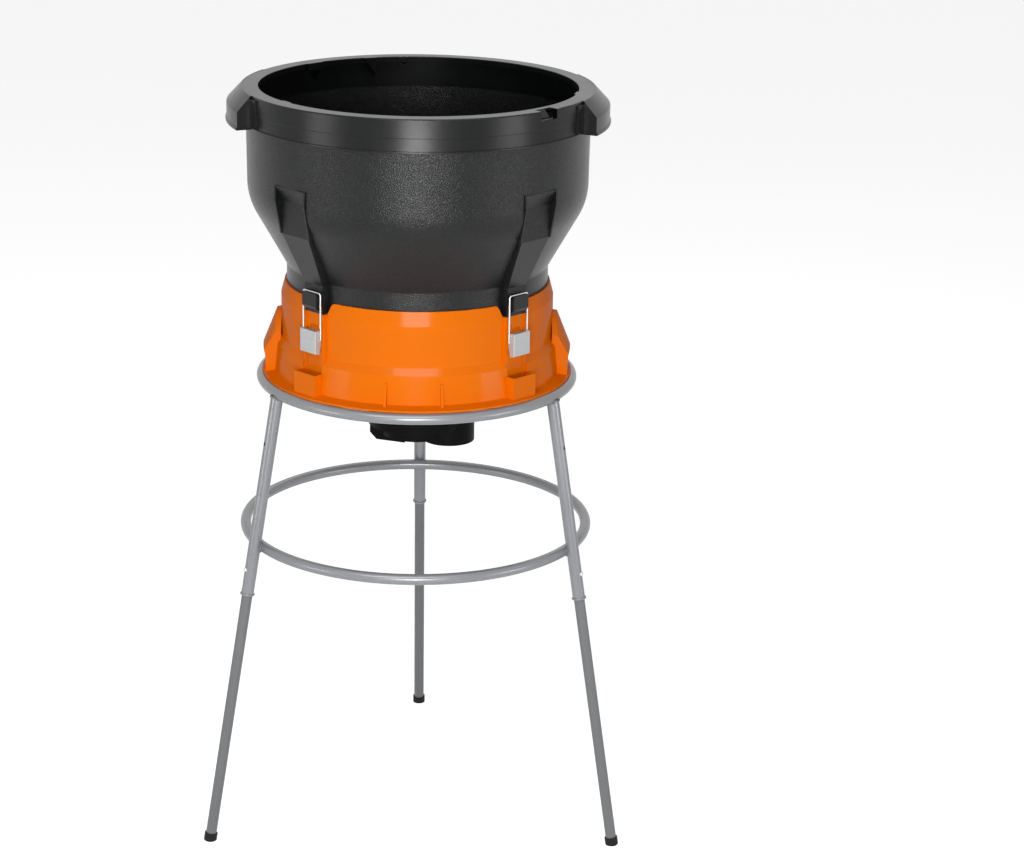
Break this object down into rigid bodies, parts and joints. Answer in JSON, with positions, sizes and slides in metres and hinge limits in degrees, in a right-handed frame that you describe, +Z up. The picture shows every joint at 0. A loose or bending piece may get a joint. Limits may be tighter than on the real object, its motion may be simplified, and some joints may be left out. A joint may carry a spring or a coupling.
{
  "type": "leaf shredder",
  "caption": "Electric leaf shredder: black hopper latched on an orange cutting chamber with a motor below, on a three-legged tube stand.",
  "frame": {"origin": "the point on the floor straight under the machine's upright axis, at the centre of the circle through the three feet", "axes": "+Z up along the machine's axis, -Y to the front, between the two front legs, +X to the right as seen from the back, so that the hand grips lie at +X and -X"},
  "size_m": [0.7414, 0.7406, 1.329],
  "materials": {
    "tube": "satin",
    "foot_rubber": "matt",
    "bright_steel": "satin",
    "spring_steel": "satin",
    "zinc_steel": "satin",
    "orange_plastic": "semi gloss",
    "black_plastic": "fine texture",
    "lever_paint": "satin",
    "seal_rubber": "matt",
    "core_steel": "laminated",
    "copper": "enamelled",
    "carbon": "matt",
    "brass": "satin",
    "grey_plastic": "matt",
    "disc_aluminium": "turned",
    "nylon": "smooth",
    "switch_plastic": "gloss",
    "reset_plastic": "gloss"
  },
  "bodies": {
    "frame": {"top_ring": "tube", "lower_hoop": "tube", "upper_leg_left": "tube", "upper_leg_right": "tube", "upper_leg_back": "tube", "lower_leg_left": "tube", "lower_leg_right": "tube", "lower_leg_back": "tube", "foot_left": "foot_rubber", "foot_right": "foot_rubber", "foot_back": "foot_rubber", "snap_spring_left": "spring_steel", "snap_spring_right": "spring_steel", "snap_spring_back": "spring_steel", "base_housing": "orange_plastic", "hopper": "black_plastic", "latch_plates": "bright_steel", "latch_pins": "bright_steel", "latch_rivets": "bright_steel", "motor_bridge": "black_plastic", "bridge_screws": "zinc_steel", "motor_cover": "black_plastic", "cover_screws": "zinc_steel", "upper_bearing": "bright_steel", "lower_bearing": "bright_steel", "shaft_seal": "seal_rubber", "field_core": "core_steel", "field_windings": "copper", "carbon_brushes": "carbon", "brush_holders": "brass", "brush_springs": "spring_steel", "switch_box": "black_plastic", "switch_module": "black_plastic", "power_inlet": "black_plastic", "inlet_pins": "brass", "breaker_body": "black_plastic", "box_screws": "zinc_steel"},
    "spinner": {"motor_shaft": "bright_steel", "armature_core": "core_steel", "armature_windings": "copper", "commutator": "copper", "cooling_fan": "grey_plastic", "cutter_disc": "disc_aluminium", "cutter_cap": "black_plastic", "cutting_lines": "nylon", "cutter_washer": "zinc_steel", "cutter_nut": "zinc_steel"},
    "lever_front_left": {"latch_lever_front_left": "lever_paint"},
    "bail_front_left": {"latch_bail_front_left": "bright_steel"},
    "lever_front_right": {"latch_lever_front_right": "lever_paint"},
    "bail_front_right": {"latch_bail_front_right": "bright_steel"},
    "lever_back_right": {"latch_lever_back_right": "lever_paint"},
    "bail_back_right": {"latch_bail_back_right": "bright_steel"},
    "lever_back_left": {"latch_lever_back_left": "lever_paint"},
    "bail_back_left": {"latch_bail_back_left": "bright_steel"},
    "button_left": {"snap_button_left": "bright_steel"},
    "button_right": {"snap_button_right": "bright_steel"},
    "button_back": {"snap_button_back": "bright_steel"},
    "rocker": {"switch_rocker": "switch_plastic"},
    "reset": {"reset_button": "reset_plastic"}
  },
  "joints": [
    {"name": "rotor_spin", "type": "hinge", "parent": "frame", "child": "spinner", "pos_m": [0, 0, 0.9], "axis": [0, 0, 1], "continuous": true},
    {"name": "lever_front_left_turn", "type": "hinge", "parent": "frame", "child": "lever_front_left", "pos_m": [-0.17713, -0.17713, 0.938], "axis": [-0.7071, 0.7071, 0], "range_deg": [0, 105]},
    {"name": "bail_front_left_turn", "type": "hinge", "parent": "lever_front_left", "child": "bail_front_left", "pos_m": [-0.17451, -0.17451, 0.925], "axis": [-0.7071, 0.7071, 0], "range_deg": [-93, 0.5]},
    {"name": "lever_front_right_turn", "type": "hinge", "parent": "frame", "child": "lever_front_right", "pos_m": [0.17713, -0.17713, 0.938], "axis": [-0.7071, -0.7071, 0], "range_deg": [0, 105]},
    {"name": "bail_front_right_turn", "type": "hinge", "parent": "lever_front_right", "child": "bail_front_right", "pos_m": [0.17451, -0.17451, 0.925], "axis": [-0.7071, -0.7071, 0], "range_deg": [-93, 0.5]},
    {"name": "lever_back_right_turn", "type": "hinge", "parent": "frame", "child": "lever_back_right", "pos_m": [0.17713, 0.17713, 0.938], "axis": [0.7071, -0.7071, 0], "range_deg": [0, 105]},
    {"name": "bail_back_right_turn", "type": "hinge", "parent": "lever_back_right", "child": "bail_back_right", "pos_m": [0.17451, 0.17451, 0.925], "axis": [0.7071, -0.7071, 0], "range_deg": [-93, 0.5]},
    {"name": "lever_back_left_turn", "type": "hinge", "parent": "frame", "child": "lever_back_left", "pos_m": [-0.17713, 0.17713, 0.938], "axis": [0.7071, 0.7071, 0], "range_deg": [0, 105]},
    {"name": "bail_back_left_turn", "type": "hinge", "parent": "lever_back_left", "child": "bail_back_left", "pos_m": [-0.17451, 0.17451, 0.925], "axis": [0.7071, 0.7071, 0], "range_deg": [-93, 0.5]},
    {"name": "button_left_press", "type": "slide", "parent": "frame", "child": "button_left", "axis": [0.8532, 0.4926, -0.1716], "range_m": [0, 0.0045], "stiffness_N_per_m": 1500, "springref_m": -0.002, "deforming": ["snap_spring_left"]},
    {"name": "button_right_press", "type": "slide", "parent": "frame", "child": "button_right", "axis": [-0.8532, 0.4926, -0.1716], "range_m": [0, 0.0045], "stiffness_N_per_m": 1500, "springref_m": -0.002, "deforming": ["snap_spring_right"]},
    {"name": "button_back_press", "type": "slide", "parent": "frame", "child": "button_back", "axis": [0, -0.9852, -0.1716], "range_m": [0, 0.0045], "stiffness_N_per_m": 1500, "springref_m": -0.002, "deforming": ["snap_spring_back"]},
    {"name": "rocker_tilt", "type": "hinge", "parent": "frame", "child": "rocker", "pos_m": [-0.028, 0.281, 0.893], "axis": [1, 0, 0], "range_deg": [0, 16]},
    {"name": "reset_press", "type": "slide", "parent": "frame", "child": "reset", "axis": [0, -1, 0], "range_m": [0, 0.002], "stiffness_N_per_m": 1500, "springref_m": -0.001}
  ],
  "couplings": [
    {"joint": "bail_front_left_turn", "follows": "lever_front_left_turn", "ratio": -0.88},
    {"joint": "bail_front_right_turn", "follows": "lever_front_right_turn", "ratio": -0.88},
    {"joint": "bail_back_right_turn", "follows": "lever_back_right_turn", "ratio": -0.88},
    {"joint": "bail_back_left_turn", "follows": "lever_back_left_turn", "ratio": -0.88}
  ]
}
